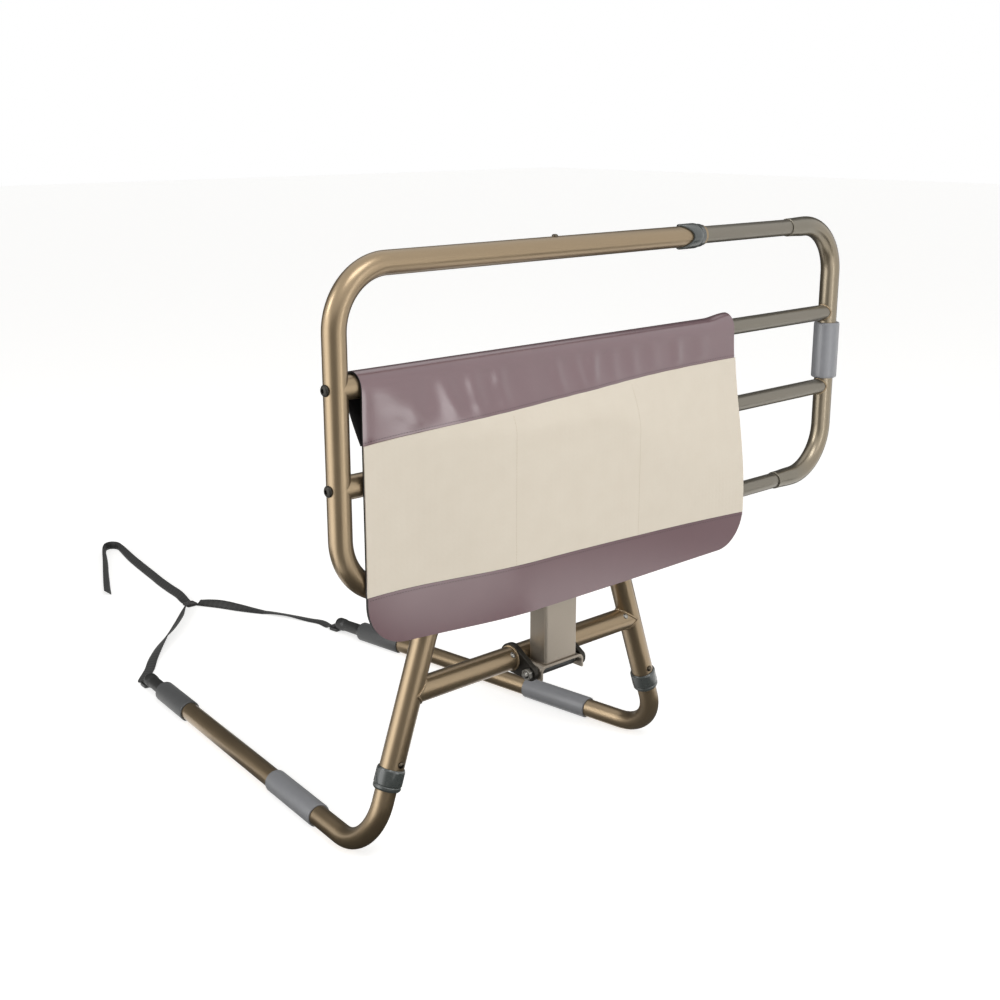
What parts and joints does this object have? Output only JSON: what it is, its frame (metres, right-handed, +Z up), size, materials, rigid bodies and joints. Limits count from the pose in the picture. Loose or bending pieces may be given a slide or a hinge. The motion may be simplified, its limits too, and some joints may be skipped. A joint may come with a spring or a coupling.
{
  "type": "folding bed guard rail",
  "caption": "Telescoping tube bed guard rail with a fold-down post, cloth pouch, splayed base frame, J-shaped floor legs and anchor straps.",
  "frame": {"origin": "on the floor under the middle of the rail and its legs, without the loose straps", "axes": "+X along the rail towards its telescoping end, +Y from the rail under the bed, +Z up"},
  "size_m": [0.8708, 1.3219, 0.6763],
  "materials": {
    "bronze_paint": "satin metallic powder coat",
    "grey_tube_paint": "satin metallic paint",
    "post_paint": "satin metallic powder coat",
    "black_steel": "black oxide",
    "zinc_steel": "zinc plated",
    "dark_plastic": "moulded matt",
    "grey_foam": "foamed rubber sleeve",
    "dark_foam": "foamed rubber sleeve",
    "maroon_cloth": "coated cloth with a soft gloss",
    "cream_cloth": "matt woven cloth",
    "black_webbing": "woven webbing"
  },
  "bodies": {
    "base_frame": {"upright_frame": "bronze_paint", "crossbar": "bronze_paint", "pivot_lug_left": "black_steel", "pivot_lug_right": "black_steel", "pivot_bolt": "zinc_steel", "pivot_nut": "zinc_steel", "leg_collar_left": "dark_plastic", "leg_collar_right": "dark_plastic", "strap_left": "black_webbing", "strap_right": "black_webbing", "strap_tail": "black_webbing", "strap_junction": "black_webbing"},
    "left_leg": {"leg_left": "bronze_paint", "leg_sleeve_front_left": "grey_foam", "leg_sleeve_rear_left": "dark_foam", "strap_cap_left": "dark_plastic"},
    "right_leg": {"leg_right": "bronze_paint", "leg_sleeve_front_right": "grey_foam", "leg_sleeve_rear_right": "dark_foam", "strap_cap_right": "dark_plastic"},
    "left_leg_button": {"leg_button_left": "zinc_steel"},
    "right_leg_button": {"leg_button_right": "zinc_steel"},
    "fold_foot": {"foot_bracket": "post_paint", "pivot_bush": "dark_plastic", "post_tongue": "black_steel"},
    "left_rail": {"post": "post_paint", "post_cap": "dark_plastic", "rail_outer_frame": "bronze_paint", "rail_collar_top": "dark_plastic", "rail_collar_bottom": "dark_plastic", "mid_rail_upper": "bronze_paint", "mid_rail_lower": "bronze_paint", "mid_plug_upper": "dark_plastic", "mid_plug_lower": "dark_plastic", "mid_bolt_upper": "black_steel", "mid_bolt_lower": "black_steel", "mid_bush_upper": "dark_plastic", "mid_bush_lower": "dark_plastic", "pouch_backing": "maroon_cloth", "pouch_pocket": "cream_cloth", "pouch_hem": "maroon_cloth"},
    "rail_button": {"extension_button": "zinc_steel"},
    "right_rail": {"end_frame": "bronze_paint", "inner_bar_top": "grey_tube_paint", "inner_bar_bottom": "grey_tube_paint", "inner_bar_upper": "grey_tube_paint", "inner_bar_lower": "grey_tube_paint", "grip_sleeve": "grey_foam", "glide_top": "dark_plastic", "glide_bottom": "dark_plastic", "glide_upper": "dark_plastic", "glide_lower": "dark_plastic"}
  },
  "joints": [
    {"name": "rail_fold", "type": "hinge", "parent": "base_frame", "child": "fold_foot", "pos_m": [-0.13795, -0.32525, 0.18], "axis": [1, 0, 0], "range_deg": [0, 180]},
    {"name": "rail_lift", "type": "slide", "parent": "fold_foot", "child": "left_rail", "axis": [0, 0, 1], "range_m": [0, 0.02]},
    {"name": "rail_extension", "type": "slide", "parent": "left_rail", "child": "right_rail", "axis": [1, 0, 0], "range_m": [-0.171, 0.2]},
    {"name": "left_leg_height", "type": "slide", "parent": "base_frame", "child": "left_leg", "axis": [-0.3289, 0, -0.9444], "range_m": [0, 0.09]},
    {"name": "right_leg_height", "type": "slide", "parent": "base_frame", "child": "right_leg", "axis": [0.3289, 0, -0.9444], "range_m": [0, 0.09]},
    {"name": "left_leg_release", "type": "slide", "parent": "base_frame", "child": "left_leg_button", "axis": [0, 1, 0], "range_m": [0, 0.0025], "stiffness_N_per_m": 800},
    {"name": "right_leg_release", "type": "slide", "parent": "base_frame", "child": "right_leg_button", "axis": [0, 1, 0], "range_m": [0, 0.0025], "stiffness_N_per_m": 800},
    {"name": "extension_release", "type": "slide", "parent": "left_rail", "child": "rail_button", "axis": [0, 0, -1], "range_m": [0, 0.0025], "stiffness_N_per_m": 800}
  ]
}
